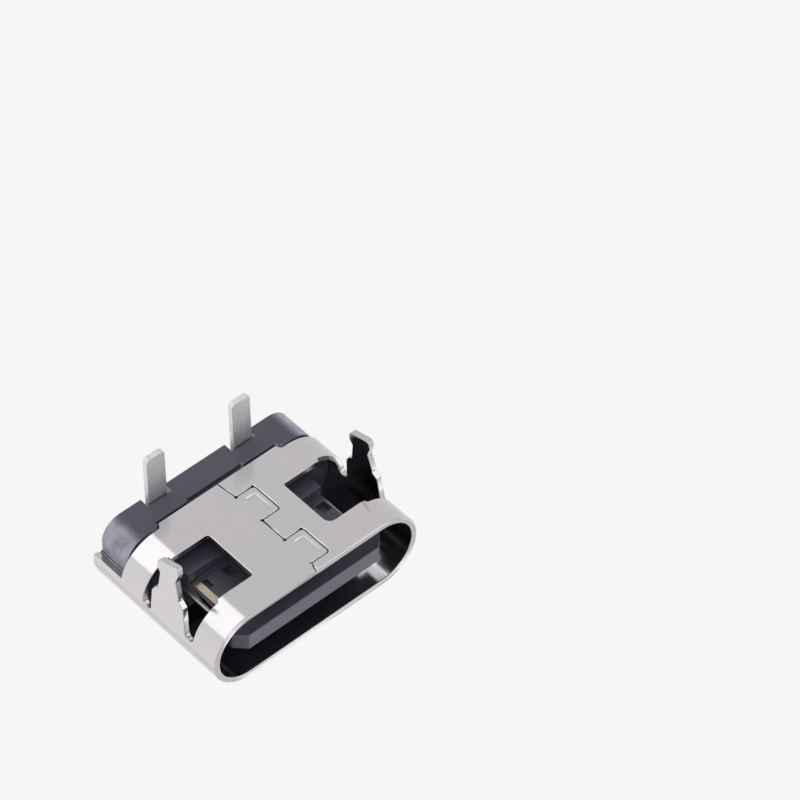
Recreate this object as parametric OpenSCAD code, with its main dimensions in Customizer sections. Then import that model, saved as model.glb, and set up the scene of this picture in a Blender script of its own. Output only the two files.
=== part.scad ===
// Charging-only USB-C board socket: a folded sheet-metal shell round a moulded insulator,
// with a latch plate in its tongue and two solder terminals.
// Frame: X across the mouth, +Y from the mouth plane to the rear, +Z up, board surface at z = 0.

/* [Shell] */
// Width of the mouth inside the shell
mouth_w = 8.34; // [8.3:0.01:8.4]
// Height of the mouth inside the shell
mouth_h = 2.56; // [2.54:0.01:2.6]
// Thickness of the sheet
sheet_t = 0.23; // [0.2:0.01:0.25]
// Length of the shell from mouth to rear edge
shell_l = 6.3; // [6.2:0.05:6.5]
// Rear edge of the lower half of the shell, at the sides
side_rear_y = 4.85; // [4.7:0.05:4.9]
// Rear edge of the tab in the middle of the bottom
tab_rear_y = 5.05; // [5:0.01:5.08]
// How far below mid height the side strips that run on to the rear edge are cut off
strip_drop = 0.26; // [0.1:0.02:0.4]
// Distance from the middle to the inner edge of each bottom window
window_x = 1.64; // [1.5:0.02:1.8]

/* [Legs] */
// Lowest point of the shell's two legs
leg_tip_z = -1.67; // [-1.9:0.01:-1.4]
// How far the legs lean in towards each other, in degrees
leg_lean = 3.5; // [0:0.5:5]

/* [Insulator] */
// Rear face of the insulator
insulator_rear_y = 6.25; // [6.2:0.01:6.28]
// Width of the block that fills the cut-back lower half
block_w = 8.1; // [7.9:0.02:8.2]
// Front edge of the tongue
tongue_front_y = 0.15; // [0.1:0.05:0.8]
// Thickness of the tongue
tongue_t = 0.7; // [0.65:0.01:0.72]

/* [Terminals] */
// Distance of each solder pin from the middle
pin_x = 1.84; // [1.8:0.01:1.88]
// Width of a solder pin
pin_w = 0.78; // [0.7:0.02:0.8]
// Lowest point of the solder pins
pin_tip_z = -2.08; // [-2.4:0.02:-1.9]
// Thickness of the terminal strip
terminal_t = 0.22; // [0.2:0.01:0.24]

/* [Hidden] */
$fn = 96;

shell_w = mouth_w + 2 * sheet_t;
shell_h = mouth_h + 2 * sheet_t;
mid_z = shell_h / 2;
strip_z = mid_z - strip_drop;
// Length that reaches past the whole part in a cut
far = 20;
// Overlap that joins neighbouring solids
lap = 0.02;

// Bottom windows, and the relief gaps beside each leg's root
window_front_y = 1.28;
window_rear_y = 3.58;
window_corner_r = 0.1;
window_wide_corner_r = 0.28;
relief_x = 3.2;
relief_front_y = 1.17;
relief_rear_y = 3.72;
relief_front_top_z = mid_z - 0.23;
relief_rear_top_z = mid_z - 0.05;
window_top_z = mid_z - 0.43;

// Legs: where they leave the wall, and their barbed edges below that, as [y, z]
leg_root_front_y = 1.57;
leg_root_rear_y = 3.3;
leg_root_z = mid_z - 0.41;
leg_rear_edge = [
    [3.25, 0.37], [3.1, 0.1], [2.94, 0], [2.83, -0.8], [2.97, -1.02], [2.95, -1.28], [2.84, -1.41],
];
leg_tip = [[2.04, 0], [1.94, 0.06], [1.9, 0.3]];
leg_front_edge = [[2.06, -0.95], [1.9, -0.3], [1.9, -0.15], [1.67, 0.02], [1.62, 0.5]];

// Locked seam along the bottom: two dovetails, each with a groove pressed in behind its end
seam_w = 0.03;
seam_dot_d = 0.1;
seam_x = -0.1;
dovetail_x = -0.87;
dovetails_y = [[0.38, 1.72], [2.86, 4.2]];
dovetail_corner = [0.06, 0.12];
seam_run_out = 0.1;
groove_w = 0.09;
groove_depth = 0.05;
groove_x = -0.66;
groove_arm_x = -0.25;
groove_ends = [0.19, 0.3];

// Notch in the top rear, and the two lock flaps bent down into it
notch_front_y = 5.1;
notch_x = 1.5;
flap_front_y = 5.35;
flap_hinge_x = 1.65;
flap_angle = 42;
flap_bend_r = 0.2;
flap_l = 1.02;
flap_taper = 0.2;
flap_rear_taper = [0.04, 0.4];
flap_reach_x = 3;
flap_corner_x = 1.9;
notch_step = 0.08;
jog_x = [2, 2.45];
jog_y = 6.12;

// Tab at the rear of the bottom
tab_x = 2.55;
tab_shoulder_x = 2.66;
tab_corner = [0.04, 0.1];

// Insulator
block_z = 0.02;
block_front_gap = 0.05;
block_corner_r = 0.83;
core_front_y = 4.2;
step_front_y = 3.13;
step_x = 2.9;
step_gap = 0.47;
step_z = [sheet_t + step_gap, shell_h - sheet_t - step_gap];
tongue_z = mid_z - tongue_t / 2;
tongue_x = 3.25;
tongue_nose_x = 2.83;
tongue_nose_l = 0.42;
tongue_waist_x = 2.88;
tongue_waist_y = 1.25;
recess_gap = 0.06;
recess_side_l = 0.12;
recess_tab_l = 0.3;
recess_mid_x = 1.2;
recess_mid_l = 0.4;
pin_groove_x = [1.33, 2.32];
pin_groove_y = 5.86;
shelf_z = mid_z + 0.32;
pocket_front_y = 5.25;
pocket_side_x = 1;
pocket_bevel = [1.3, 0.2];
pocket_top_x = 1.95;
post_x = 0.47;
post_rear_y = 5.87;
post_top_z = shell_h - 0.02;
core_hole = [0.4, 0.42, 0.25];
core_holes_at = [[1.49, 2.7], [-2.6, 2.7]];
// Open pocket beside the ground contact, as its near corner and its size
contact_pocket_at = [2.3, 2.55];
contact_pocket = [0.25, 0.4, 0.2];

// Latch plate
plate_t = 0.16;
plate_x = 3.04;
plate_root_x = 2.6;
plate_y = [0.6, 4.8];
plate_wing_y = [1.28, 3.4];

// Terminals
contact_proud = 0.03;
contact_z = tongue_z - contact_proud;
contact_w = 0.28;
contact_front_y = 0.9;
contact_rear_y = 3.6;
ground_contact_x = 2.67;
power_contact_x = -1.25;
yoke_y = [3.4, 3.9];
pin_face_y = 6.12;
bend_r = 0.34;
stub_offset = -0.96;
stub_w = 0.4;
stub_t = 0.11;
stub_front_y = 4.6;
stub_yoke_l = 0.4;
stub_proud = 0.01;
pin_chamfer = 0.1;

module along_y(y0, y1) {
    translate([0, y1, 0]) rotate([90, 0, 0]) linear_extrude(y1 - y0) children();
}

module along_z(z0, z1) {
    translate([0, 0, z0]) linear_extrude(z1 - z0) children();
}

// Flat-sided oval that stands on y = 0
module oval(w, h) {
    translate([-(w - h) / 2, 0]) square([w - h, h]);
    for (side = [-1, 1]) translate([side * (w - h) / 2, h / 2]) circle(d = h);
}

module both_sides() {
    children();
    mirror([1, 0, 0]) children();
}

module stroke(from, to, w) {
    run = to - from;
    translate(from) rotate(atan2(run.y, run.x)) translate([0, -w / 2]) square([norm(run), w]);
}

// Window in plan, open towards +X, with the given radius at its front inner corner
module window_plan(front_r) {
    back_r = window_corner_r;
    length = window_rear_y - window_front_y;
    translate([window_x + front_r, window_front_y]) square([far, length]);
    translate([window_x + back_r, window_front_y + front_r]) square([far, length - front_r]);
    translate([window_x, window_front_y + front_r]) square([far, length - front_r - back_r]);
    translate([window_x + front_r, window_front_y + front_r]) circle(front_r);
    translate([window_x + back_r, window_rear_y - back_r]) circle(back_r);
    translate([relief_x, relief_front_y]) square([far, relief_rear_y - relief_front_y]);
}

// Round-topped gap beside a leg, cut along X
module relief_gap(y0, y1, top_z) {
    r = (y1 - y0) / 2;
    translate([relief_x, y0, 0]) cube([far, y1 - y0, top_z - r]);
    translate([relief_x, (y0 + y1) / 2, top_z - r]) rotate([0, 90, 0]) cylinder(r = r, h = far);
}

module window_cut(front_r) {
    along_z(-far, window_top_z) window_plan(front_r);
    relief_gap(relief_front_y, leg_root_front_y, relief_front_top_z);
    relief_gap(leg_root_rear_y, relief_rear_y, relief_rear_top_z);
}

// Leg outline in the YZ plane, from its root in the wall down to the barbed tip
module leg_outline() {
    polygon([
        [leg_root_rear_y, mid_z], [leg_root_rear_y, leg_root_z], each leg_rear_edge,
        for (point = leg_tip) [point[0], leg_tip_z + point[1]],
        each leg_front_edge, [leg_root_front_y, leg_root_z], [leg_root_front_y, mid_z],
    ]);
}

module leg() {
    translate([shell_w / 2, 0, mid_z]) rotate([0, leg_lean, 0])
        translate([-sheet_t, 0, -mid_z]) rotate([90, 0, 90]) linear_extrude(sheet_t) leg_outline();
}

// One dovetail of the seam, from its rear to its front, in plan
function dovetail_path(y) = [
    [seam_x, y[1]], [dovetail_x + dovetail_corner.x, y[1]], [dovetail_x, y[1] - dovetail_corner.y],
    [dovetail_x, y[0] + dovetail_corner.x], [dovetail_x + dovetail_corner.x, y[0]], [seam_x, y[0]],
];

// Seam path from the tab's rear edge to the mouth, in plan
function seam_path() = concat(
    [[0, tab_rear_y + seam_run_out]],
    dovetail_path(dovetails_y[1]),
    dovetail_path(dovetails_y[0]),
    [[0, -seam_run_out]]
);

module seam_cut() {
    path = seam_path();
    along_z(-lap, sheet_t + lap) {
        for (i = [1:len(path) - 1]) stroke(path[i - 1], path[i], seam_w);
        for (y = dovetails_y, end = [0, 1]) translate([seam_x, y[end]]) circle(d = seam_dot_d);
        for (y = dovetails_y) translate([dovetail_x + dovetail_corner.x, y[1]]) circle(d = seam_dot_d);
    }
}

// Groove pressed into a dovetail behind its free end
module pressed_groove(y) {
    corner = [groove_x, y[1] - groove_ends[1]];
    along_z(-lap, groove_depth) {
        stroke([groove_x, y[0] + groove_ends[0]], corner + [0, groove_w / 2], groove_w);
        stroke(corner, [groove_arm_x, corner.y], groove_w);
    }
}

// Lock flap, bent down from the top towards the middle
module flap() {
    outer_r = flap_bend_r + sheet_t;
    intersection() {
        along_y(flap_front_y, shell_l) translate([flap_hinge_x, shell_h - outer_r]) {
            rotate(flap_angle) translate([-flap_l, flap_bend_r]) square([flap_l, sheet_t]);
            intersection() {
                difference() {
                    circle(outer_r);
                    circle(flap_bend_r);
                }
                rotate(flap_angle) square(far);
                translate([-far, 0]) square(far);
            }
            translate([-lap, flap_bend_r]) square([5 * lap, sheet_t]);
        }
        along_z(0, far) polygon([
            [0, flap_front_y + flap_taper], [flap_hinge_x, flap_front_y], [flap_reach_x, flap_front_y],
            [flap_reach_x, shell_l], [flap_corner_x, shell_l - flap_rear_taper[0]],
            [0, shell_l - flap_rear_taper[1]],
        ]);
    }
}

// What is cut away behind the bottom: all but the middle tab
module rear_cut() {
    difference() {
        translate([-far / 2, side_rear_y, -far]) cube([far, far, strip_z + far]);
        along_z(-2 * far, sheet_t + lap) polygon([
            [-tab_shoulder_x, 0], [-tab_shoulder_x, side_rear_y],
            [-tab_x - tab_corner.x, tab_rear_y - tab_corner.y], [-tab_x, tab_rear_y],
            [tab_x, tab_rear_y], [tab_x + tab_corner.x, tab_rear_y - tab_corner.y],
            [tab_shoulder_x, side_rear_y], [tab_shoulder_x, 0],
        ]);
    }
}

module top_notch() {
    translate([-notch_x, notch_front_y, mid_z]) cube([2 * notch_x, far, far]);
    translate([-flap_hinge_x, flap_front_y - notch_step, mid_z]) cube([2 * flap_hinge_x, far, far]);
    both_sides() translate([jog_x[0], jog_y, mid_z]) cube([jog_x[1] - jog_x[0], far, far]);
}

module shell() {
    color([0.76, 0.74, 0.74]) {
        difference() {
            along_y(0, shell_l) difference() {
                oval(shell_w, shell_h);
                translate([0, sheet_t]) oval(mouth_w, mouth_h);
            }
            window_cut(window_corner_r);
            mirror([1, 0, 0]) window_cut(window_wide_corner_r);
            rear_cut();
            seam_cut();
            for (y = dovetails_y) pressed_groove(y);
            top_notch();
        }
        both_sides() {
            leg();
            flap();
        }
    }
}

// Block behind the shell's cut-back lower half, with round lower corners
module rear_block() {
    half = block_w / 2;
    top_z = strip_z - lap;
    along_y(side_rear_y + block_front_gap, insulator_rear_y) {
        translate([-half, block_z + block_corner_r]) square([block_w, top_z - block_z - block_corner_r]);
        translate([block_corner_r - half, block_z])
            square([block_w - 2 * block_corner_r, top_z - block_z]);
        for (side = [-1, 1])
            translate([side * (half - block_corner_r), block_z + block_corner_r]) circle(block_corner_r);
    }
}

// Room in front of the block for the tab of the shell
module tab_recess() {
    module slot(half_w, length) {
        translate([-half_w, side_rear_y, sheet_t - far]) cube([2 * half_w, length, far]);
    }
    slot(tab_shoulder_x + recess_gap, recess_side_l);
    slot(tab_x + recess_gap, recess_tab_l);
    slot(recess_mid_x, recess_mid_l);
}

module tongue() {
    shoulder_y = tongue_front_y + tongue_nose_l;
    along_z(tongue_z, tongue_z + tongue_t) {
        polygon([
            [-tongue_nose_x, tongue_front_y], [tongue_nose_x, tongue_front_y],
            [tongue_x, shoulder_y], [tongue_x, tongue_waist_y],
            [-tongue_x, tongue_waist_y], [-tongue_x, shoulder_y],
        ]);
        translate([-tongue_waist_x, tongue_waist_y - lap])
            square([2 * tongue_waist_x, core_front_y + 2 * lap - tongue_waist_y]);
    }
}

// Body that fills the shell behind the mouth, with the step in front of it
module core() {
    translate([-step_x, step_front_y, step_z[0]])
        cube([2 * step_x, core_front_y + lap - step_front_y, step_z[1] - step_z[0]]);
    along_y(core_front_y, side_rear_y + block_front_gap + lap)
        translate([0, sheet_t]) oval(mouth_w, mouth_h);
    intersection() {
        along_y(core_front_y, insulator_rear_y) translate([0, sheet_t]) oval(mouth_w, mouth_h);
        translate([-far / 2, 0, strip_z - lap]) cube(far);
    }
}

module latch_post() {
    front = notch_front_y + lap;
    translate([-post_x, front, mid_z]) cube([2 * post_x, post_rear_y - front, post_top_z - mid_z]);
}

// Pocket in the rear that the lock flaps are bent into, with the latch post left standing
module rear_pocket() {
    flare_top_z = shell_h - sheet_t - lap;
    difference() {
        union() {
            translate([-pin_groove_x[0], pocket_front_y, shelf_z]) cube([2 * pin_groove_x[0], far, far]);
            both_sides() along_y(pocket_front_y, far) polygon([
                [pocket_side_x, shelf_z], [pocket_bevel.x, shelf_z + pocket_bevel.y],
                [pocket_top_x, flare_top_z], [pocket_top_x, far], [pocket_side_x, far],
            ]);
        }
        translate([-post_x, 0, 0]) cube([2 * post_x, post_rear_y, far]);
    }
}

module pin_grooves() {
    w = pin_groove_x[1] - pin_groove_x[0];
    both_sides() translate([pin_groove_x[0], pin_groove_y, -far]) cube([w, far, 2 * far]);
}

// Holes of the mould's core pins, and the pocket beside the ground contact
module tongue_holes() {
    for (at = core_holes_at)
        translate([at.x - core_hole.x / 2, at.y - core_hole.y / 2, tongue_z - lap])
            cube([core_hole.x, core_hole.y, core_hole.z + lap]);
    translate([contact_pocket_at.x, contact_pocket_at.y, tongue_z - lap])
        cube([contact_pocket.x, contact_pocket.y, contact_pocket.z + lap]);
}

module insulator() {
    color([0.33, 0.32, 0.38]) difference() {
        union() {
            tongue();
            core();
            rear_block();
            latch_post();
        }
        tab_recess();
        rear_pocket();
        pin_grooves();
        tongue_holes();
        latch_plate();
        ground_terminal();
        power_terminal();
    }
}

module latch_plate() {
    color([0.72, 0.71, 0.70]) along_z(mid_z - plate_t / 2, mid_z + plate_t / 2) {
        translate([-plate_root_x, plate_y[0]]) square([2 * plate_root_x, plate_y[1] - plate_y[0]]);
        translate([-plate_x, plate_wing_y[0]])
            square([2 * plate_x, plate_wing_y[1] - plate_wing_y[0]]);
    }
}

// Side view of a terminal in [y, z]: the strip, its bend and the pin, from the given front end
module terminal_profile(front_y) {
    top_z = contact_z + terminal_t;
    in_r = bend_r - terminal_t;
    pin_front_y = pin_face_y - terminal_t;
    difference() {
        union() {
            translate([front_y, contact_z]) square([pin_face_y - front_y, terminal_t]);
            translate([pin_front_y, pin_tip_z]) square([terminal_t, top_z - pin_tip_z]);
            translate([pin_front_y - in_r, contact_z - in_r]) square([in_r + lap, in_r + lap]);
        }
        translate([pin_front_y - in_r, contact_z - in_r]) circle(in_r);
        translate([pin_face_y - bend_r, top_z - bend_r]) difference() {
            square(far);
            circle(bend_r);
        }
    }
}

// Strip that runs from its contact on the tongue to the rear and turns down into a solder pin
module terminal(side, contact_x) {
    pin_at = side * pin_x;
    stub_at = pin_at + stub_offset;
    contact_left = contact_x - contact_w / 2;
    left = min(contact_left, pin_at - pin_w / 2);
    right = max(contact_left + contact_w, pin_at + pin_w / 2);
    stub_l = insulator_rear_y + stub_proud - stub_front_y;
    stub_z = contact_z + terminal_t - stub_t;
    along_z(contact_z, contact_z + terminal_t) {
        translate([contact_left, contact_front_y]) square([contact_w, contact_rear_y - contact_front_y]);
        translate([left, yoke_y[0]]) square([right - left, yoke_y[1] - yoke_y[0]]);
    }
    translate([stub_at - stub_w / 2, stub_front_y, stub_z]) {
        cube([stub_w, stub_l, stub_t]);
        cube([pin_at - stub_at + stub_w / 2, stub_yoke_l, stub_t]);
    }
    difference() {
        translate([pin_at - pin_w / 2, 0, 0]) rotate([90, 0, 90])
            linear_extrude(pin_w) terminal_profile(yoke_y[0]);
        // Clipped corners of the pin's tip
        for (edge = [-1, 1]) translate([pin_at + edge * pin_w / 2, 0, pin_tip_z]) rotate([0, 45, 0])
            cube([pin_chamfer * sqrt(2), 4 * far, pin_chamfer * sqrt(2)], center = true);
    }
}

module ground_terminal() {
    color([0.80, 0.72, 0.55]) terminal(1, ground_contact_x);
}

module power_terminal() {
    color([0.80, 0.79, 0.78]) terminal(-1, power_contact_x);
}

shell();
insulator();
latch_plate();
ground_terminal();
power_terminal();
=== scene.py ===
"""Dresses an oval charging socket: plated shell, moulded insulator, latch plate, terminals and stage."""

import math

import bmesh
import bpy
from mathutils import Matrix, Vector
from mathutils.geometry import delaunay_2d_cdt


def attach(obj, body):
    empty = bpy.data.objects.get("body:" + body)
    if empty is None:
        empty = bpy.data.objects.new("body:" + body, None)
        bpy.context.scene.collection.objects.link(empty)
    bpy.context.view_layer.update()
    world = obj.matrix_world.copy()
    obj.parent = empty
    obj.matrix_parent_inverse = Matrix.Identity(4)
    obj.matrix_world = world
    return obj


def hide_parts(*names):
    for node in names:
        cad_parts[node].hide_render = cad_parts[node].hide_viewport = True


bl_info = {
    "name": "Charging Board Socket",
    "version": (1, 0, 0),
    "blender": (4, 5, 0),
    "location": "3D View > Sidebar > Socket",
    "description": "Builds the plated shell, the moulding and the terminals of an oval board socket",
    "category": "Object",
}

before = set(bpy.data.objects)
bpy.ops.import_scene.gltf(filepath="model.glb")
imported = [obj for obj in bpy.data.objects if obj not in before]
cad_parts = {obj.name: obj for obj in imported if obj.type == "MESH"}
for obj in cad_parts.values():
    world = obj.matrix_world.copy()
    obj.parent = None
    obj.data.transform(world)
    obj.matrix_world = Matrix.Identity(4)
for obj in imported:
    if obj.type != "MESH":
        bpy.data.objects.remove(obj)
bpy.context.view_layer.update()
BODY = "root"
MM = 0.001


# ---------------------------------------------------------------- node helpers
class Nodes:
    """Short ways to add and link the nodes of one material or world."""

    def __init__(self, owner):
        owner.use_nodes = True
        self.tree = owner.node_tree
        self.tree.nodes.clear()

    def add(self, kind, **settings):
        node = self.tree.nodes.new(kind)
        for name, value in settings.items():
            setattr(node, name, value)
        return node

    def link(self, source, target):
        self.tree.links.new(source, target)

    def noise(self, scale, detail=3.0, roughness=0.5, stretch=(1.0, 1.0, 1.0)):
        coords = self.add("ShaderNodeTexCoord")
        mapping = self.add("ShaderNodeMapping")
        mapping.inputs["Scale"].default_value = stretch
        texture = self.add("ShaderNodeTexNoise")
        texture.inputs["Scale"].default_value = scale
        texture.inputs["Detail"].default_value = detail
        texture.inputs["Roughness"].default_value = roughness
        self.link(coords.outputs["Object"], mapping.inputs["Vector"])
        self.link(mapping.outputs["Vector"], texture.inputs["Vector"])
        return texture.outputs["Fac"]

    def ramp(self, source, stops):
        """A colour for each value, from stops of (value, colour)."""
        node = self.add("ShaderNodeValToRGB")
        elements = node.color_ramp.elements
        while len(elements) > 1:
            elements.remove(elements[-1])
        elements[0].position, elements[0].color = stops[0][0], (*stops[0][1], 1.0)
        for position, colour in stops[1:]:
            elements.new(position).color = (*colour, 1.0)
        self.link(source, node.inputs["Fac"])
        return node.outputs["Color"]

    def span(self, source, low, high, start=0.0, end=1.0):
        """The values from start to end, stretched to run from low to high."""
        node = self.add("ShaderNodeMapRange")
        node.inputs["From Min"].default_value = start
        node.inputs["From Max"].default_value = end
        node.inputs["To Min"].default_value = low
        node.inputs["To Max"].default_value = high
        self.link(source, node.inputs["Value"])
        return node.outputs["Result"]

    def product(self, first, second):
        node = self.add("ShaderNodeMath", operation="MULTIPLY")
        self.link(first, node.inputs[0])
        self.link(second, node.inputs[1])
        return node.outputs["Value"]

    def blend(self, factor, colour, over):
        """A linked colour, with a plain one laid over it by a factor."""
        node = self.add("ShaderNodeMix", data_type="RGBA")
        self.link(factor, node.inputs["Factor"])
        self.link(colour, node.inputs["A"])
        node.inputs["B"].default_value = (*over, 1.0)
        return node.outputs["Result"]

    def mixed(self, factor, first, second):
        """A mix of two shaders."""
        node = self.add("ShaderNodeMixShader")
        self.link(factor, node.inputs["Fac"])
        self.link(first, node.inputs[1])
        self.link(second, node.inputs[2])
        return node.outputs["Shader"]

    def worn(self):
        """How worn the mesh says that a place is."""
        return self.add("ShaderNodeAttribute", attribute_name="wear").outputs["Fac"]

    def bump(self, height, strength, distance, normal=None):
        node = self.add("ShaderNodeBump")
        node.inputs["Strength"].default_value = strength
        node.inputs["Distance"].default_value = distance
        self.link(height, node.inputs["Height"])
        if normal is not None:
            self.link(normal, node.inputs["Normal"])
        return node.outputs["Normal"]


# ---------------------------------------------------------------- outlines and folded sheet, in millimetres
def arc_points(centre, radius, start, end, steps=8):
    """Points on an arc, from start to end in degrees."""
    turn = [math.radians(start + (end - start) * i / steps) for i in range(steps + 1)]
    return [(centre[0] + radius * math.cos(a), centre[1] + radius * math.sin(a)) for a in turn]


def rounded(points, radius, steps=4):
    """A closed loop with rounded corners. A third number in a point is that corner's own radius.

    A corner takes up at most a given share of the sides that meet in it, and a slight bend stays as it is.
    """
    share = 0.45
    slight = math.radians(15)
    loop = []
    for i, point in enumerate(points):
        here = Vector(point[:2])
        before = Vector(points[i - 1][:2]) - here
        after = Vector(points[(i + 1) % len(points)][:2]) - here
        wanted = point[2] if len(point) > 2 else radius
        turn = math.pi - before.angle(after)
        if wanted <= 0.0 or turn < slight:
            loop.append(tuple(here))
            continue
        reach = min(wanted * math.tan(turn / 2), share * before.length, share * after.length)
        before.normalize()
        after.normalize()
        middle = (before + after).normalized()
        radius_here = reach / math.tan(turn / 2)
        centre = here + middle * (radius_here / math.cos(turn / 2))
        first = here + before * reach - centre
        last = here + after * reach - centre
        sweep = math.atan2(first.x * last.y - first.y * last.x, first.dot(last))
        for k in range(steps + 1):
            loop.append(tuple(centre + Matrix.Rotation(sweep * k / steps, 2) @ first))
    return loop


def signed_area(loop):
    """Area of a closed loop, above zero if it runs anticlockwise."""
    return sum(a[0] * b[1] - b[0] * a[1] for a, b in zip(loop, loop[1:] + loop[:1])) / 2


def miters(loop):
    """For each point of a closed loop, the way to its left, long enough to move both edges by one.

    The divisor's lower limit keeps the way short at a sharp point.
    """
    lowest = 0.4
    ways = []
    for i, point in enumerate(loop):
        here = Vector(point)
        along = (here - Vector(loop[i - 1])).normalized()
        onward = (Vector(loop[(i + 1) % len(loop)]) - here).normalized()
        left = Vector((-along.y, along.x)) + Vector((-onward.y, onward.x))
        ways.append(left / max(lowest, 1.0 + along.dot(onward)))
    return ways


def within(point, edges):
    """Whether a point lies in the area that the edges enclose, holes left out."""
    inside = False
    for a, b in edges:
        if (a.y > point.y) != (b.y > point.y):
            if point.x < a.x + (point.y - a.y) / (b.y - a.y) * (b.x - a.x):
                inside = not inside
    return inside


class Blank:
    """Flat sheet with rounded edges, cut by loops of (u, v) points, that a fold bends into place.

    Each vertex carries the normal it has on the flat sheet and how worn it is.
    """

    def __init__(self, thickness):
        self.half = thickness / 2
        self.bm = bmesh.new()
        self.normal = self.bm.verts.layers.float_vector.new("flat_normal")
        self.wear = self.bm.verts.layers.float.new("wear")
        self.caps = {1: [], -1: []}

    def skirt(self, loop, profile, turned=False):
        """Rings of vertices down a profile of (spot, normal out, normal up, wear).

        A spot is a function that gives the offset and the height for a point of the loop.
        """
        ways = miters(loop)
        rings = []
        for spot, out, up, wear in profile:
            ring = []
            for point, way in zip(loop, ways):
                offset, height = spot(point)
                place = Vector(point) + way * offset
                vert = self.bm.verts.new((place.x, place.y, height))
                flat = -way.normalized() * out
                vert[self.normal] = Vector((flat.x, flat.y, up)).normalized()
                vert[self.wear] = wear
                ring.append(vert)
            rings.append(ring)
        for upper, lower in zip(rings, rings[1:]):
            for i in range(len(loop)):
                j = (i + 1) % len(loop)
                corners = (upper[i], lower[i], lower[j], upper[j])
                self.bm.faces.new(corners[::-1] if turned else corners)
        return rings

    def edge(self, loop, radius, hole=False, steps=3):
        """The rounded edge of an outline or a hole. The radius is a function of the point."""
        if (signed_area(loop) > 0) == hole:
            loop = loop[::-1]
        quarter = [math.pi / 2 * k / steps for k in range(steps + 1)]
        profile = []
        for side, angles in ((1, quarter[::-1]), (-1, quarter)):
            for angle in angles:
                out, up = math.cos(angle), math.sin(angle)

                def spot(point, out=out, up=up, side=side):
                    r = radius(point)
                    return r * (1 - out), side * (self.half - r * (1 - up))

                profile.append((spot, out, side * up, float(angle < quarter[-1])))
        rings = self.skirt(loop, profile)
        self.caps[1].append(rings[0])
        self.caps[-1].append(rings[-1])

    def dent(self, loop, depth, wall, steps=4):
        """A pressed hollow in the upper face, with soft walls that take up the given width."""
        if signed_area(loop) < 0:
            loop = loop[::-1]
        profile = []
        for k in range(steps + 1):
            part = k / steps
            fall = (1 - math.cos(math.pi * part)) / 2
            slope = depth / wall * math.pi / 2 * math.sin(math.pi * part)
            length = math.hypot(slope, 1.0)
            spot = (wall * part, self.half - depth * fall)
            profile.append((lambda point, spot=spot: spot, -slope / length, 1 / length, 0.0))
        rings = self.skirt(loop, profile, turned=True)
        self.caps[1].append(rings[0])
        self.fill([rings[-1]], 1)

    def fill(self, rings, side):
        """Closes rings of one face with flat polygons that leave out the holes."""
        verts = [vert for ring in rings for vert in ring]
        edges, start = [], 0
        for ring in rings:
            count = len(ring)
            edges += [(start + i, start + (i + 1) % count) for i in range(count)]
            start += count
        flat = [vert.co.to_2d() for vert in verts]
        inside_only, tolerance = 1, 1e-7
        points, _, faces, origins, _, _ = delaunay_2d_cdt(flat, edges, [], inside_only, tolerance)
        height = verts[0].co.z
        walls = [(flat[a], flat[b]) for a, b in edges]
        made = []
        for point, origin in zip(points, origins):
            if origin:
                made.append(verts[origin[0]])
            else:
                vert = self.bm.verts.new((point.x, point.y, height))
                vert[self.normal] = (0.0, 0.0, side)
                made.append(vert)
        for face in faces:
            middle = sum((points[i] for i in face), Vector((0.0, 0.0))) / len(face)
            if within(middle, walls):
                corners = [made[i] for i in face]
                self.bm.faces.new(corners if side > 0 else corners[::-1])

    def cut(self, places):
        """Splits the sheet along the lines it is going to be bent at, given by their u."""
        way = Vector((1, 0, 0))
        for place in places:
            geometry = self.bm.verts[:] + self.bm.edges[:] + self.bm.faces[:]
            bmesh.ops.bisect_plane(self.bm, geom=geometry, dist=1e-6, plane_co=way * place, plane_no=way)

    def close(self):
        """Fills both faces round the holes and the dents."""
        for side, rings in self.caps.items():
            self.fill(rings, side)

    def folded(self, name, fold):
        """Bends the sheet with a fold function and gives back its mesh in metres.

        The fold mirrors the sheet's axes, so its faces are turned round.
        """
        normals = []
        for vert in self.bm.verts:
            place, axes = fold(*vert.co)
            flat = vert[self.normal]
            vert.co = place * MM
            normal = axes[0] * flat.x + axes[1] * flat.y + axes[2] * flat.z
            normals.append(normal.normalized())
        bmesh.ops.reverse_faces(self.bm, faces=self.bm.faces[:])
        mesh = bpy.data.meshes.new(name)
        self.bm.to_mesh(mesh)
        self.bm.free()
        mesh.shade_smooth()
        mesh.normals_split_custom_set_from_vertices(normals)
        return mesh


def add_piece(name, mesh, node):
    """Puts a mesh in the scene as a piece that stands for the given node."""
    piece = bpy.data.objects.new(name, mesh)
    bpy.context.scene.collection.objects.link(piece)
    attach(piece, BODY)
    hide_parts(node)
    return piece


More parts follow.
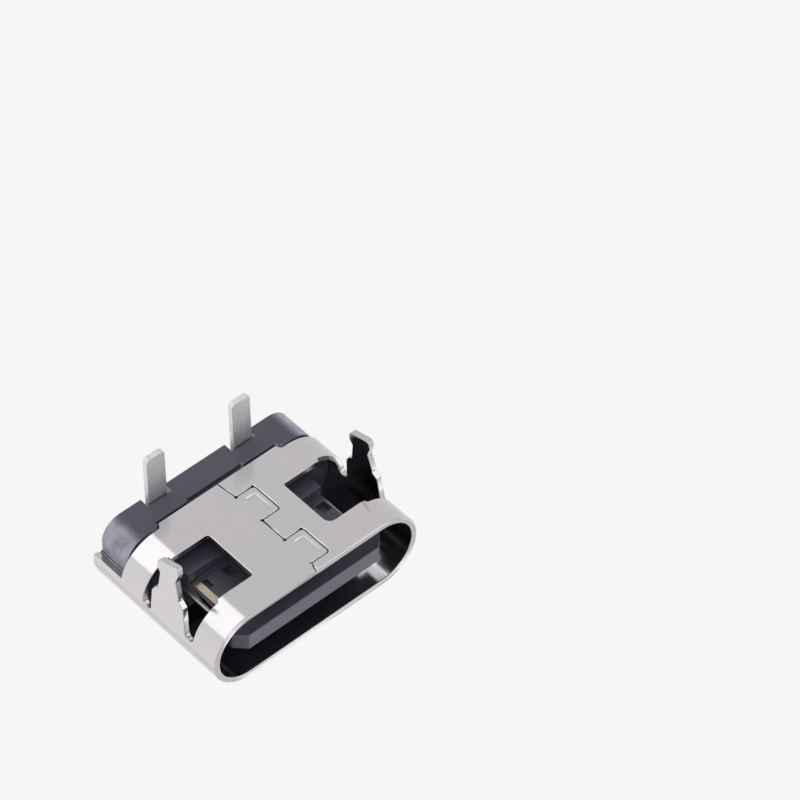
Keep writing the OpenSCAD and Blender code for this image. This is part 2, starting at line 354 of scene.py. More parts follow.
def softened(node, width, ease=0.0):
    """A copy of a node's mesh with its sharp edges rounded. Its wear is 1 on the rounded edges.

    ease narrows the copy by that share, so that it doesn't run into the sheet around it.
    """
    flat, sharp = math.radians(0.5), math.radians(30)
    bm = bmesh.new()
    bm.from_mesh(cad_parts[node].data)
    bmesh.ops.remove_doubles(bm, verts=bm.verts, dist=1e-7)
    bmesh.ops.dissolve_limit(bm, angle_limit=flat, verts=bm.verts, edges=bm.edges)
    wear = bm.verts.layers.float.new("wear")
    edges = [e for e in bm.edges if e.is_manifold and e.calc_face_angle() > sharp]
    made = bmesh.ops.bevel(bm, geom=edges, offset=width, offset_type="OFFSET", segments=2,
                           profile=0.5, affect="EDGES", clamp_overlap=False)
    rims = set(made["faces"])
    for face in rims:
        for vert in face.verts:
            vert[wear] = 1.0
    for vert in bm.verts:
        vert.co.x *= 1.0 - ease
    bm.normal_update()
    normals = []
    for vert in bm.verts:
        walls = [face.normal * face.calc_area() for face in vert.link_faces if face not in rims]
        normals.append(sum(walls, Vector()).normalized() if walls else vert.normal.copy())
    mesh = bpy.data.meshes.new(node)
    bm.to_mesh(mesh)
    bm.free()
    mesh.shade_smooth()
    mesh.normals_split_custom_set_from_vertices(normals)
    return mesh


# ---------------------------------------------------------------- plating and plastic
def tint(colour, factor):
    """A lighter or darker version of a colour."""
    return tuple(min(1.0, channel * factor) for channel in colour[:3])


def shader_of(name):
    """A new material with its helper and its main shader."""
    material = bpy.data.materials.new(name)
    nodes = Nodes(material)
    shader = nodes.add("ShaderNodeBsdfPrincipled")
    output = nodes.add("ShaderNodeOutputMaterial")
    nodes.link(shader.outputs["BSDF"], output.inputs["Surface"])
    return material, nodes, shader


def plated_metal(name, colour, roughness, patch=0.038, grain=0.05, burnish=0.92):
    """Plated metal: soft patches of cooler and warmer tone, a faint orange peel, and rolling lines.

    patch is how far the tone wanders, grain how deep the peel is, and burnish how much lighter or
    darker the worn edges are than the rest.
    """
    material, nodes, shader = shader_of(name)
    shader.inputs["Metallic"].default_value = 1.0
    patches = nodes.noise(260.0, detail=2.0)
    red, green, blue = colour[:3]
    cool = (red * (1 - patch), green * (1 + patch / 4), blue * (1 - patch / 2))
    warm = (red * (1 + patch), green * (1 - patch / 2), blue * (1 + patch / 2))
    tone = nodes.ramp(patches, [(0.38, cool), (0.5, (red, green, blue)), (0.64, warm)])
    scuffs = nodes.span(nodes.noise(5200.0, detail=3.0), 0.45, 1.0, 0.35, 0.6)
    plating = nodes.blend(nodes.product(nodes.worn(), scuffs), tone, tint(colour, burnish))
    nodes.link(plating, shader.inputs["Base Color"])
    lines = nodes.noise(2600.0, detail=4.0, stretch=(6.0, 0.5, 6.0))
    nodes.link(nodes.span(lines, roughness * 0.8, roughness * 1.25, 0.3, 0.7), shader.inputs["Roughness"])
    peel = nodes.noise(2400.0, detail=2.0)
    soft = nodes.bump(peel, grain, 0.00001)
    nodes.link(nodes.bump(lines, grain, 0.000002, soft), shader.inputs["Normal"])
    return material


def scuffs_and_painted_highlight(nodes, scuffs_and_highlight_from):
    """Scuffs and a painted highlight on the moulding's round ends: most where they look sideways, behind a
    given y.
    """
    trace, sideways, fade = 0.04, 0.22, 0.0004
    facing = nodes.add("ShaderNodeSeparateXYZ")
    nodes.link(nodes.add("ShaderNodeNewGeometry").outputs["Normal"], facing.inputs["Vector"])
    place = nodes.add("ShaderNodeSeparateXYZ")
    nodes.link(nodes.add("ShaderNodeTexCoord").outputs["Object"], place.inputs["Vector"])
    across = nodes.product(facing.outputs["X"], facing.outputs["X"])
    scuffs = nodes.noise(1500.0, detail=7.0, roughness=0.7, stretch=(1.0, 1.5, 1.0))
    # Mask of the painted highlight: round ends that look sideways, behind the given y, broken up by scuffs.
    ends = nodes.product(nodes.span(across, trace, 1.0, 0.0, sideways),
                         nodes.span(place.outputs["Y"], trace, 1.0, scuffs_and_highlight_from - fade, scuffs_and_highlight_from))
    return nodes.product(ends, nodes.span(scuffs, 0.5, 1.0, 0.35, 0.65))


def moulded_plastic(name, colour, roughness, scuffs_and_highlight_from):
    """Glass-filled moulding: fine grain in the skin, a slight mottle, paler rubbed edges, and round ends made
    paler by scuffs and a painted highlight.
    """
    # end_highlight_lift raises the round ends' colour about ninefold, which paints a highlight on them.
    edge_lift, end_highlight_lift = 1.6, (9.0, 8.9, 10.0)
    material, nodes, shader = shader_of(name)
    mottle = nodes.noise(700.0, detail=2.0)
    tone = nodes.ramp(mottle, [(0.3, tint(colour, 0.92)), (0.7, tint(colour, 1.08))])
    skin = nodes.blend(nodes.span(nodes.worn(), 0.0, 0.5), tone, tint(colour, edge_lift))
    grey = sum(colour[:3]) / 3
    # Lays the painted highlight, with its scuffs, over the round ends.
    scuffed_and_highlit = nodes.blend(scuffs_and_painted_highlight(nodes, scuffs_and_highlight_from), skin, [grey * lift for lift in end_highlight_lift])
    nodes.link(scuffed_and_highlit, shader.inputs["Base Color"])
    shader.inputs["Specular Tint"].default_value = (0.93, 0.9, 1.0, 1.0)
    fine = nodes.noise(16000.0, detail=3.0)
    nodes.link(nodes.span(fine, roughness * 0.85, roughness * 1.2, 0.3, 0.7), shader.inputs["Roughness"])
    soft = nodes.bump(nodes.noise(5000.0, detail=2.0), 0.12, 0.00001)
    nodes.link(nodes.bump(fine, 0.2, 0.000004, soft), shader.inputs["Normal"])
    return material


# ---------------------------------------------------------------- the shell's blank, in millimetres
# Sheet and overall form. The blank's u runs round the mouth from the middle of the bottom, and its v from
# the mouth to the rear.
SHEET = 0.23
SHELL_W, SHELL_H, SHELL_L = 8.8, 3.02, 6.3
MID_Z = SHELL_H / 2
MID_R = (SHELL_H - SHEET) / 2
FLAT = (SHELL_W - SHELL_H) / 2
ARC = math.pi * MID_R
GIRTH = 4 * FLAT + 2 * ARC
SIDE = FLAT + ARC / 2
TOP = 2 * FLAT + ARC

# Rear edge of the bottom half: the side strips, and the tab in the middle
SIDE_REAR, TAB_REAR, STRIP_Z = 4.85, 5.05, 1.25
TAB_X, TAB_SHOULDER, TAB_CORNER = 2.55, 2.66, (0.04, 0.1)

# Notch in the top's rear edge, with a lock flap on each side that is bent down into it. The flaps are the
# sheet behind FLAPS_FROM_Y, inside their hinges.
NOTCH_FRONT, NOTCH_X, NOTCH_STEP_Y = 5.1, 1.5, 5.27
HINGE_X, FLAP_FRONT, FLAP_L = 1.65, 5.35, 1.02
FLAP_TURN = math.radians(42)
FLAP_INNER_R = 0.2
FLAP_R = FLAP_INNER_R + SHEET / 2
FLAP_BEND = FLAP_TURN * FLAP_R
FLAP_TAPER, FLAP_REAR_TAPER, FLAP_CORNER_X = 0.2, (0.04, 0.36), 1.9
FLAPS_FROM_Y = 5.2
HINGE_STEP = 0.08
JOG_X, JOG_Y = (2.0, 2.45), 6.12

# Windows, the relief gaps beside the legs, and the legs' outlines as (y, z). Pairs are front and rear.
# A leg is the sheet further out than LEGS_FROM_S, and LEG_EASE is the length over which the sheet beside it
# turns to the leg's lean.
WINDOW_X, WINDOW_Y = 1.64, (1.28, 3.58)
WINDOW_CORNER_R, WIDE_CORNER_R = 0.1, 0.28
RELIEF_X, RELIEF_Y = 3.2, (1.17, 3.72)
GAP_TOP_Z = (1.28, 1.46)
LEG_Y = (1.57, 3.3)
LEG_LEAN = 3.5
LEG_TURN = math.radians(90 - LEG_LEAN)
LEG_ROOT = FLAT + LEG_TURN * MID_R
LEG_EASE = (0.2, 0.21)
LEGS_FROM_S = 1.7
LEG_REAR = [(3.3, 1.1), (3.25, 0.37), (3.1, 0.1), (2.94, 0.0), (2.83, -0.8), (2.97, -1.02), (2.95, -1.28),
            (2.84, -1.41)]
LEG_FRONT = [(2.04, -1.67), (1.94, -1.61), (1.9, -1.37), (2.06, -0.95), (1.9, -0.3), (1.9, -0.15),
             (1.67, 0.02), (1.62, 0.5), (1.57, 1.1)]

# Locked seam: two dovetails by their front and rear, and a groove pressed in beside each
SEAM_X, DOVETAIL_X = -0.1, -0.87
DOVETAILS = ((0.38, 1.72), (2.86, 4.2))
DOVETAIL_CORNER = (0.06, 0.12)
SEAM_RELIEF_R = 0.05
GROOVE_X, GROOVE_ARM_X, GROOVE_ENDS = -0.66, -0.25, (0.19, 0.3)
GROOVE_HALF_W, GROOVE_CORNER_R = 0.06, 0.055
GROOVE_DEPTH, GROOVE_WALL = 0.04, 0.042

# How finely the sheet is cut where it bends
ARC_STEPS, FLAP_STEPS = 30, 6


def flank(z):
    """Distance round the blank, from the middle of the bottom, at which the side wall is at height z."""
    return FLAT + MID_R * math.acos((MID_Z - z) / MID_R)


def on_leg(y, z):
    """Place on the blank of a leg's point, as (u, v)."""
    return SIDE - (MID_Z - z), y


def seam_path():
    """Middle line of the seam, from the mouth to the tab, and which of its corners have a round relief."""
    across, along = DOVETAIL_CORNER
    path = [((0.0, 0.0), False)]
    for front, rear in DOVETAILS:
        path += [((SEAM_X, front), True), ((DOVETAIL_X + across, front), False),
                 ((DOVETAIL_X, front + across), False), ((DOVETAIL_X, rear - along), False),
                 ((DOVETAIL_X + across, rear), True), ((SEAM_X, rear), True)]
    return path + [((0.0, TAB_REAR), False)]


def seam_side(side, gap):
    """One sheet's edge along the seam, from the mouth to the rear. side is 1 for the +X sheet."""
    path = seam_path()
    half = gap / 2
    edge = []
    for i, (point, relief) in enumerate(path):
        here = Vector(point)
        along = (here - Vector(path[i - 1][0])).normalized() if i else None
        onward = (Vector(path[i + 1][0]) - here).normalized() if i + 1 < len(path) else None
        if along is None or onward is None:
            edge.append((here.x + side * half, here.y))
            continue
        right = [Vector((d.y, -d.x)) * side for d in (along, onward)]
        if not relief:
            edge.append(tuple(here + (right[0] + right[1]) * half / (1 + along.dot(onward))))
            continue
        back = math.sqrt(SEAM_RELIEF_R ** 2 - half ** 2)
        first = -along * back + right[0] * half
        last = onward * back + right[1] * half
        start, end = math.atan2(first.y, first.x), math.atan2(last.y, last.x)
        if side > 0:
            end += math.tau * (end < start)
        else:
            end -= math.tau * (end > start)
        edge += arc_points(here, SEAM_RELIEF_R, math.degrees(start), math.degrees(end), steps=10)
    return edge


def window_loop(inner_r):
    """Window and the gaps beside the leg, round the leg's own outline, on the +X half."""
    small_r, rear_leg_r = 0.05, 0.06
    front_r, rear_r = (LEG_Y[0] - RELIEF_Y[0]) / 2, (RELIEF_Y[1] - LEG_Y[1]) / 2
    front_end = (flank(GAP_TOP_Z[0]) - front_r, RELIEF_Y[0] + front_r)
    rear_end = (flank(GAP_TOP_Z[1]) - rear_r, RELIEF_Y[1] - rear_r)
    points = [(WINDOW_X, WINDOW_Y[0], inner_r), (WINDOW_X, WINDOW_Y[1], WINDOW_CORNER_R),
              (RELIEF_X, WINDOW_Y[1]), (RELIEF_X, RELIEF_Y[1])]
    points += [(*p, 0.0) for p in arc_points(rear_end, rear_r, 90, -90, steps=12)]
    points += [(*on_leg(y, z), rear_leg_r) for y, z in LEG_REAR]
    points += [on_leg(y, z) for y, z in LEG_FRONT]
    points += [(*p, 0.0) for p in arc_points(front_end, front_r, 90, -90, steps=12)]
    points += [(RELIEF_X, RELIEF_Y[0]), (RELIEF_X, WINDOW_Y[0])]
    return rounded(points, small_r)


def rear_half():
    """Rear outline of the +X half from the seam to the middle of the top, with each corner's radius."""
    hinge = TOP - HINGE_X
    reach = HINGE_X - FLAP_R * math.sin(FLAP_TURN) - FLAP_L * math.cos(FLAP_TURN)
    flap_end = hinge + FLAP_BEND + FLAP_L
    flap_front = FLAP_FRONT + FLAP_TAPER * (HINGE_X - reach) / HINGE_X
    first, more = FLAP_REAR_TAPER
    flap_rear = SHELL_L - first - more * (FLAP_CORNER_X - reach) / FLAP_CORNER_X
    tab = [(TAB_X, TAB_REAR, 0.06), (TAB_X + TAB_CORNER[0], TAB_REAR - TAB_CORNER[1], 0.04),
           (TAB_SHOULDER, SIDE_REAR, 0.06)]
    strip = [(flank(STRIP_Z), SIDE_REAR, 0.05), (flank(STRIP_Z), SHELL_L, 0.05)]
    jog = [(TOP - JOG_X[1], SHELL_L, 0.03), (TOP - JOG_X[1], JOG_Y, 0.03), (TOP - JOG_X[0], JOG_Y, 0.03),
           (TOP - JOG_X[0], SHELL_L, 0.04)]
    flap = [(TOP - FLAP_CORNER_X, SHELL_L, 0.06), (hinge, SHELL_L - HINGE_STEP, 0.1),
            (flap_end, flap_rear, 0.06), (flap_end, flap_front, 0.06), (hinge, FLAP_FRONT, 0.05)]
    notch = [(hinge, NOTCH_STEP_Y, 0.03), (TOP - NOTCH_X, NOTCH_STEP_Y, 0.03),
             (TOP - NOTCH_X, NOTCH_FRONT, 0.06)]
    return tab + strip + jog + flap + notch


def shell_fold(u, v, n):
    """Place and axes of a point of the blank once the sheet is folded round the mouth."""
    mirror = u > GIRTH / 2
    s = GIRTH - u if mirror else u
    if s < FLAT:
        x, z, turn = s, MID_Z - MID_R, 0.0
    elif s < FLAT + ARC:
        turn = (s - FLAT) / MID_R
        x, z = FLAT + MID_R * math.sin(turn), MID_Z - MID_R * math.cos(turn)
    else:
        x, z, turn = TOP - s, MID_Z + MID_R, math.pi
        if v > FLAPS_FROM_Y and x < HINGE_X:
            past = HINGE_X - x
            bend = min(past / FLAP_R, FLAP_TURN)
            turn += bend
            straight = max(0.0, past - FLAP_BEND)
            x = HINGE_X - FLAP_R * math.sin(bend) - straight * math.cos(bend)
            z = MID_Z + MID_R - FLAP_R * (1 - math.cos(bend)) - straight * math.sin(bend)
    if LEGS_FROM_S < s < LEG_ROOT and RELIEF_Y[0] < v < RELIEF_Y[1]:
        front = (v - LEG_Y[0] + LEG_EASE[0]) / LEG_EASE[0]
        rear = (LEG_Y[1] + LEG_EASE[1] - v) / LEG_EASE[1]
        on = max(0.0, min(front, rear, 1.0))
        below = LEG_ROOT - s
        leg_x = FLAT + MID_R * math.sin(LEG_TURN) - below * math.cos(LEG_TURN)
        leg_z = MID_Z - MID_R * math.cos(LEG_TURN) - below * math.sin(LEG_TURN)
        x, z, turn = x + on * (leg_x - x), z + on * (leg_z - z), turn + on * (LEG_TURN - turn)
    along = Vector((math.cos(turn), 0.0, math.sin(turn)))
    out = Vector((math.sin(turn), 0.0, -math.cos(turn)))
    place = Vector((x, v, z)) + out * n
    if mirror:
        place.x, out.x, along.x = -place.x, -out.x, -along.x
        along = -along
    return place, (along, Vector((0, 1, 0)), out)


def groove_loop(front, rear):
    """Outline of the L-shaped groove beside one dovetail."""
    x, y, w = GROOVE_X, rear - GROOVE_ENDS[1], GROOVE_HALF_W
    start = front + GROOVE_ENDS[0]
    corners = [(x - w, start), (x + w, start), (x + w, y - w), (GROOVE_ARM_X, y - w),
               (GROOVE_ARM_X, y + w), (x - w, y + w)]
    return rounded(corners, GROOVE_CORNER_R, steps=3)


def shell_mesh(settings):
    """The shell as one folded sheet: seam, windows, legs, tab, notch and lock flaps."""
    gap = settings.seam_gap / MM
    left = seam_side(1, gap)
    right = [(GIRTH + x, y) for x, y in seam_side(-1, gap)]
    half = rear_half()
    other = [(GIRTH - u, v, r) for u, v, r in half]
    outline = rounded([(*p, 0.0) for p in left[::-1] + right] + other + half[::-1], 0.0)

    def window_rim(point):
        return settings.edge_radius / MM

    def rim(point):
        close = 0.01
        if point[1] < close:
            return settings.mouth_radius / MM
        from_seam = min(abs(point[0]), abs(point[0] - GIRTH))
        on_seam = from_seam < abs(DOVETAIL_X) + gap and point[1] < TAB_REAR - close
        return (settings.seam_radius if on_seam else settings.edge_radius) / MM

    blank = Blank(SHEET)
    blank.edge(outline, rim)
    blank.edge(window_loop(WINDOW_CORNER_R), window_rim, hole=True)
    blank.edge([(GIRTH - u, v) for u, v in window_loop(WIDE_CORNER_R)], window_rim, hole=True)
    for front, rear in DOVETAILS:
        blank.dent(groove_loop(front, rear), GROOVE_DEPTH, GROOVE_WALL)
    blank.close()
    places = [FLAT + ARC * k / ARC_STEPS for k in range(ARC_STEPS + 1)] + [LEG_ROOT]
    places += [TOP - HINGE_X + FLAP_BEND * k / FLAP_STEPS for k in range(FLAP_STEPS + 1)]
    blank.cut(places + [GIRTH - place for place in places])
    return blank.folded("Sheet_Casing", shell_fold)


# ---------------------------------------------------------------- sizes and colours
class ShellSettings(bpy.types.PropertyGroup):
    colour: bpy.props.FloatVectorProperty(
        name="Plating Colour", description="Colour of the nickel-like plating", subtype="COLOR",
        size=3, min=0.0, max=1.0, default=(0.552, 0.534, 0.548))
    roughness: bpy.props.FloatProperty(
        name="Plating Roughness", description="How matte the plating is", subtype="FACTOR",
        min=0.0, max=1.0, default=0.15)
    edge_radius: bpy.props.FloatProperty(
        name="Edge Radius", description="Rounding of the sheet's cut edges", subtype="DISTANCE",
        unit="LENGTH", min=0.000005, max=0.0001, default=0.00003)
    mouth_radius: bpy.props.FloatProperty(
        name="Mouth Radius", description="Rounding of the edge round the mouth", subtype="DISTANCE",
        unit="LENGTH", min=0.000005, max=0.0001, default=0.00007)
    seam_radius: bpy.props.FloatProperty(
        name="Seam Radius", description="Rounding of the edges along the seam", subtype="DISTANCE",
        unit="LENGTH", min=0.000005, max=0.0001, default=0.000045)
    seam_gap: bpy.props.FloatProperty(
        name="Seam Gap", description="Gap between the two ends of the sheet", subtype="DISTANCE",
        unit="LENGTH", min=0.000005, max=0.0001, default=0.000022)


class MouldingSettings(bpy.types.PropertyGroup):
    colour: bpy.props.FloatVectorProperty(
        name="Moulding Colour", description="Colour of the insulator's plastic", subtype="COLOR",
        size=3, min=0.0, max=1.0, default=(0.048, 0.046, 0.060))
    roughness: bpy.props.FloatProperty(
        name="Moulding Roughness", description="How matte the plastic is", subtype="FACTOR",
        min=0.0, max=1.0, default=0.4)
    # Where the painted highlight and the scuffs on the block's round ends begin.
    scuffs_and_highlight_from: bpy.props.FloatProperty(
        name="Scuffs And Highlight From", description="How far behind the mouth the block's round ends start to get scuffs and a painted highlight",
        subtype="DISTANCE", unit="LENGTH", min=0.0, max=0.006, default=0.0048)
    edge_radius: bpy.props.FloatProperty(
        name="Edge Radius", description="Rounding of the moulding's edges", subtype="DISTANCE", unit="LENGTH",
        min=0.000002, max=0.00005, default=0.00003)
    side_ease: bpy.props.FloatProperty(
        name="Side Ease", description="Share of its width that the moulding loses to stay clear of the sheet",
        subtype="FACTOR", min=0.0, max=0.02, default=0.003)
    plate_colour: bpy.props.FloatVectorProperty(
        name="Latch Plate Colour", description="Colour of the steel plate in the tongue", subtype="COLOR",
        size=3, min=0.0, max=1.0, default=(0.62, 0.61, 0.60))
    plate_roughness: bpy.props.FloatProperty(
        name="Latch Plate Roughness", description="How matte the steel plate is", subtype="FACTOR",
        min=0.0, max=1.0, default=0.28)
    plate_edge_radius: bpy.props.FloatProperty(
        name="Latch Plate Edge Radius", description="Rounding of the steel plate's edges",
        subtype="DISTANCE", unit="LENGTH", min=0.000002, max=0.00005, default=0.00002)


class TerminalSettings(bpy.types.PropertyGroup):
    tin_colour: bpy.props.FloatVectorProperty(
        name="Tin Colour", description="Colour of the tinned solder pins", subtype="COLOR",
        size=3, min=0.0, max=1.0, default=(0.73, 0.73, 0.74))
    gold_colour: bpy.props.FloatVectorProperty(
        name="Gold Colour", description="Colour of the gold on the contacts", subtype="COLOR",
        size=3, min=0.0, max=1.0, default=(0.42, 0.36, 0.28))
    tin_roughness: bpy.props.FloatProperty(
        name="Tin Roughness", description="How matte the tin is", subtype="FACTOR",
        min=0.0, max=1.0, default=0.55)
    gold_roughness: bpy.props.FloatProperty(
        name="Gold Roughness", description="How matte the gold is", subtype="FACTOR",
        min=0.0, max=1.0, default=0.22)
    edge_radius: bpy.props.FloatProperty(
        name="Edge Radius", description="Rounding of the terminals' edges", subtype="DISTANCE", unit="LENGTH",
        min=0.000002, max=0.00005, default=0.00002)
    gold_until: bpy.props.FloatProperty(
        name="Gold Until", description="Distance behind the mouth at which the gold gives way to tin",
        subtype="DISTANCE", unit="LENGTH", min=0.001, max=0.006, default=0.0041)


class StageSettings(bpy.types.PropertyGroup):
    background: bpy.props.FloatVectorProperty(
        name="Background", description="Colour of the floor and the surroundings", subtype="COLOR",
        size=3, min=0.0, max=1.0, default=(0.922, 0.922, 0.922))
    lamp_glow: bpy.props.FloatProperty(
        name="Lamp Glow", description="How bright the strongest soft lamps look in the metal",
        min=0.0, default=0.92)
    fill: bpy.props.FloatProperty(
        name="Fill Light", description="Strength of the light from all round", min=0.0, default=0.65)
    lamp_distance: bpy.props.FloatProperty(
        name="Lamp Distance", description="Distance of the soft lamps from the socket's origin",
        subtype="DISTANCE", unit="LENGTH", min=0.05, default=0.2)
    floor_drop: bpy.props.FloatProperty(
        name="Floor Drop", description="How far the floor lies below the board surface", subtype="DISTANCE",
        unit="LENGTH", min=0.01, default=0.3)
    floor_size: bpy.props.FloatProperty(
        name="Floor Size", description="Length and width of the floor", subtype="DISTANCE", unit="LENGTH",
        min=0.1, default=2.0)
    lens: bpy.props.FloatProperty(
        name="Lens", description="Focal length of the camera, on a 36 mm sensor", subtype="DISTANCE_CAMERA",
        unit="CAMERA", min=10.0, default=205.87)
    camera_azimuth: bpy.props.FloatProperty(
        name="Camera Azimuth", description="Where the camera stands round the socket, from +X towards +Y",
        subtype="ANGLE", unit="ROTATION", default=math.radians(-48.87))
    camera_elevation: bpy.props.FloatProperty(
        name="Camera Elevation", description="How far above the board surface the camera stands",
        subtype="ANGLE", unit="ROTATION", default=math.radians(-48.1))
    camera_roll: bpy.props.FloatProperty(
        name="Camera Roll", description="Turn of the camera about the way it looks",
        subtype="ANGLE", unit="ROTATION", default=math.radians(179.42))
    camera_distance: bpy.props.FloatProperty(
        name="Camera Distance", description="Distance of the camera from the point it looks at",
        subtype="DISTANCE", unit="LENGTH", min=0.02, default=0.14954)
    camera_aim: bpy.props.FloatVectorProperty(
        name="Camera Aim", description="The point that the camera looks at", subtype="TRANSLATION",
        unit="LENGTH", size=3, default=(-0.00482, 0.00129, -0.00371))


# ---------------------------------------------------------------- pieces
class SOCKET_OT_shell(bpy.types.Operator):
    """Fold the shell from its sheet and plate it"""
    bl_idname = "socket.shell"
    bl_label = "Shell"

    def execute(self, context):
        settings = context.scene.socket_shell
        shell = add_piece("Sheet_Casing", shell_mesh(settings), "shell")
        shell.data.materials.append(plated_metal("Plated_Sheet", settings.colour, settings.roughness))
        return {"FINISHED"}


class SOCKET_OT_insulator(bpy.types.Operator):
    """Build the moulded insulator and the latch plate in its tongue"""
    bl_idname = "socket.insulator"
    bl_label = "Insulator"

    def execute(self, context):
        settings = context.scene.socket_moulding
        body = softened("insulator", settings.edge_radius, settings.side_ease)
        piece = add_piece("Insulator", body, "insulator")
        plastic = moulded_plastic("Moulding", settings.colour, settings.roughness, settings.scuffs_and_highlight_from)
        piece.data.materials.append(plastic)
        sheet = softened("latch_plate", settings.plate_edge_radius)
        plate = add_piece("Latch_Plate", sheet, "latch_plate")
        steel = plated_metal("Latch_Steel", settings.plate_colour, settings.plate_roughness)
        plate.data.materials.append(steel)
        return {"FINISHED"}


TERMINALS = (
    ("Ground_Terminal", "ground_terminal", "gold_plate"),
    ("Power_Terminal", "power_terminal", "tin_plate"),
)


class SOCKET_OT_terminals(bpy.types.Operator):
    """Build the two terminals, with gold on their contacts and tin on their solder pins"""
    bl_idname = "socket.terminals"
    bl_label = "Terminals"

    def execute(self, context):
        settings = context.scene.socket_terminal
        tin = plated_metal("Tin", settings.tin_colour, settings.tin_roughness, grain=0.02, burnish=1.1)
        gold = plated_metal("Gold", settings.gold_colour, settings.gold_roughness, burnish=1.1)
        for name, node, slot in TERMINALS:
            piece = add_piece(name, softened(node, settings.edge_radius), node)
            piece.data.materials.append(tin)
            piece.data.materials.append(gold)
            for face in piece.data.polygons:
                face.material_index = int(face.center.y < settings.gold_until)
        return {"FINISHED"}


# Soft lamps: name, way from the socket, length across and along it, and share of the full glow
LAMPS = (
    ("Flank_Lamp_Under", (0.30, 0.54, -0.79), (0.25, 0.075), 1.0),
    ("Flank_Lamp_Over", (-0.35, -0.50, 0.77), (0.32, 0.085), 0.95),
    ("Side_Lamp_Left", (-0.857, -0.5, 0.075), (0.11, 0.1), 0.4),
    ("Side_Lamp_Right", (0.83, 0.5, 0.24), (0.3, 0.14), 0.24),
    ("Front_Lamp", (-0.44, -0.72, -0.48), (0.12, 0.1), 1.0),
    ("Window_Lamp", (0.30, -0.35, -0.89), (0.12, 0.12), 1.1),
)
FILL_COLOUR = (0.92, 0.91, 1.0)
LAMP_COLOUR = (1.0, 0.98, 1.0)


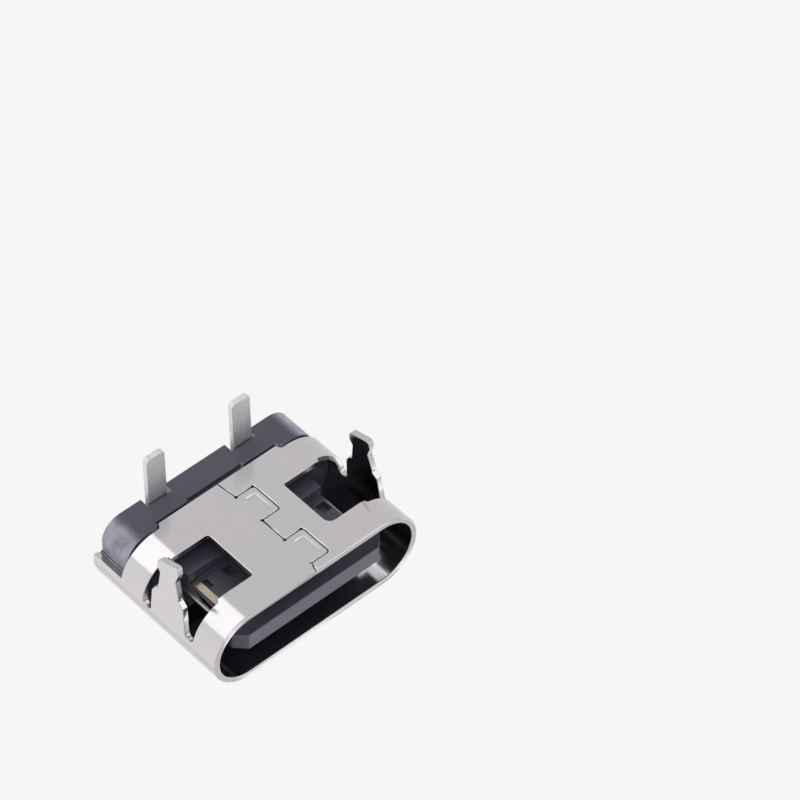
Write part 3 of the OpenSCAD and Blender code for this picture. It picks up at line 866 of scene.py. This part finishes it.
class SOCKET_OT_stage(bpy.types.Operator):
    """Set up the floor, the surroundings, the soft lamps and the camera"""
    bl_idname = "socket.stage"
    bl_label = "Stage"

    def execute(self, context):
        settings = context.scene.socket_stage
        scene = context.scene
        scene.view_settings.view_transform = "Standard"
        self.camera(scene, settings)
        self.world(scene, settings)
        self.floor(scene, settings)
        for name, way, size, share in LAMPS:
            self.softbox(scene, name, Vector(way).normalized(), size, share * settings.lamp_glow,
                         settings.lamp_distance)
        return {"FINISHED"}

    def camera(self, scene, settings):
        """Looks up at the mouth and the underside, rolled over so that the board side is at the top."""
        data = bpy.data.cameras.new("Camera")
        data.sensor_width = 36.0
        data.lens = settings.lens
        data.clip_start = 0.01
        data.clip_end = 10.0
        camera = bpy.data.objects.new("Camera", data)
        scene.collection.objects.link(camera)
        azimuth, elevation = settings.camera_azimuth, settings.camera_elevation
        level = math.cos(elevation)
        back = Vector((level * math.cos(azimuth), level * math.sin(azimuth), math.sin(elevation)))
        right = Vector((0.0, 0.0, 1.0)).cross(back).normalized()
        turn = Matrix((right, back.cross(right), back)).transposed()
        turn = turn @ Matrix.Rotation(settings.camera_roll, 3, "Z")
        place = Vector(settings.camera_aim) + back * settings.camera_distance
        camera.matrix_world = Matrix.Translation(place) @ turn.to_4x4()
        scene.camera = camera

    def world(self, scene, settings):
        world = bpy.data.worlds.new("Surroundings")
        scene.world = world
        nodes = Nodes(world)
        output = nodes.add("ShaderNodeOutputWorld")
        seen = nodes.add("ShaderNodeBackground")
        seen.inputs["Color"].default_value = (*settings.background, 1.0)
        cast = nodes.add("ShaderNodeBackground")
        cast.inputs["Color"].default_value = (*FILL_COLOUR, 1.0)
        cast.inputs["Strength"].default_value = settings.fill
        mix = nodes.mixed(self.looked_at(nodes), cast.outputs["Background"], seen.outputs["Background"])
        nodes.link(mix, output.inputs["Surface"])

    def looked_at(self, nodes):
        """1 on the rays that show the background: seen by the camera, in metal or through glass."""
        path = nodes.add("ShaderNodeLightPath")
        shown = path.outputs["Is Camera Ray"]
        for ray in ("Is Glossy Ray", "Is Transmission Ray"):
            either = nodes.add("ShaderNodeMath", operation="MAXIMUM")
            nodes.link(shown, either.inputs[0])
            nodes.link(path.outputs[ray], either.inputs[1])
            shown = either.outputs["Value"]
        return shown

    def floor(self, scene, settings):
        """A plain pale floor, low enough for the camera to stand over it and look up at the socket."""
        half = settings.floor_size / 2
        corners = [(-half, -half), (half, -half), (half, half), (-half, half)]
        mesh = bpy.data.meshes.new("Floor")
        mesh.from_pydata([(x, y, -settings.floor_drop) for x, y in corners], [], [(0, 1, 2, 3)])
        floor = bpy.data.objects.new("Floor", mesh)
        scene.collection.objects.link(floor)
        material = bpy.data.materials.new("Pale_Floor")
        nodes = Nodes(material)
        matte = nodes.add("ShaderNodeBsdfDiffuse")
        matte.inputs["Color"].default_value = (*settings.background, 1.0)
        plain = nodes.add("ShaderNodeEmission")
        plain.inputs["Color"].default_value = (*settings.background, 1.0)
        mix = nodes.mixed(self.looked_at(nodes), matte.outputs["BSDF"], plain.outputs["Emission"])
        output = nodes.add("ShaderNodeOutputMaterial")
        nodes.link(mix, output.inputs["Surface"])
        mesh.materials.append(material)

    def softbox(self, scene, name, back, size, glow, distance):
        """A soft rectangular lamp that stands off the given way and shines evenly at the socket."""
        data = bpy.data.lights.new(name, "AREA")
        data.shape = "RECTANGLE"
        data.size, data.size_y = size
        data.energy = glow * math.pi * size[0] * size[1]
        data.color = LAMP_COLOUR
        light = bpy.data.objects.new(name, data)
        scene.collection.objects.link(light)
        along = Vector((0.0, 1.0, 0.0)).cross(back).normalized()
        turn = Matrix((along, back.cross(along), back)).transposed()
        light.matrix_world = Matrix.Translation(back * distance) @ turn.to_4x4()
        light.visible_camera = False


class SOCKET_PT_panel(bpy.types.Panel):
    """Lists the pieces of the socket with their sizes and colours"""
    bl_idname = "SOCKET_PT_panel"
    bl_label = "Charging Board Socket"
    bl_space_type = "VIEW_3D"
    bl_region_type = "UI"
    bl_category = "Socket"

    def draw(self, context):
        for operator, settings in PIECES:
            box = self.layout.box()
            box.operator(operator.bl_idname)
            group = getattr(context.scene, settings)
            for name in group.bl_rna.properties.keys():
                if name not in ("rna_type", "name"):
                    box.prop(group, name)


GROUPS = {
    "socket_shell": ShellSettings,
    "socket_moulding": MouldingSettings,
    "socket_terminal": TerminalSettings,
    "socket_stage": StageSettings,
}
PIECES = (
    (SOCKET_OT_shell, "socket_shell"),
    (SOCKET_OT_insulator, "socket_moulding"),
    (SOCKET_OT_terminals, "socket_terminal"),
    (SOCKET_OT_stage, "socket_stage"),
)


def register():
    for name, group in GROUPS.items():
        bpy.utils.register_class(group)
        setattr(bpy.types.Scene, name, bpy.props.PointerProperty(type=group))
    for operator, _ in PIECES:
        bpy.utils.register_class(operator)
    bpy.utils.register_class(SOCKET_PT_panel)


def unregister():
    bpy.utils.unregister_class(SOCKET_PT_panel)
    for operator, _ in reversed(PIECES):
        bpy.utils.unregister_class(operator)
    for name, group in reversed(GROUPS.items()):
        delattr(bpy.types.Scene, name)
        bpy.utils.unregister_class(group)


def main():
    register()
    bpy.ops.socket.shell()
    bpy.ops.socket.insulator()
    bpy.ops.socket.terminals()
    bpy.ops.socket.stage()


if __name__ == "__main__":
    main()
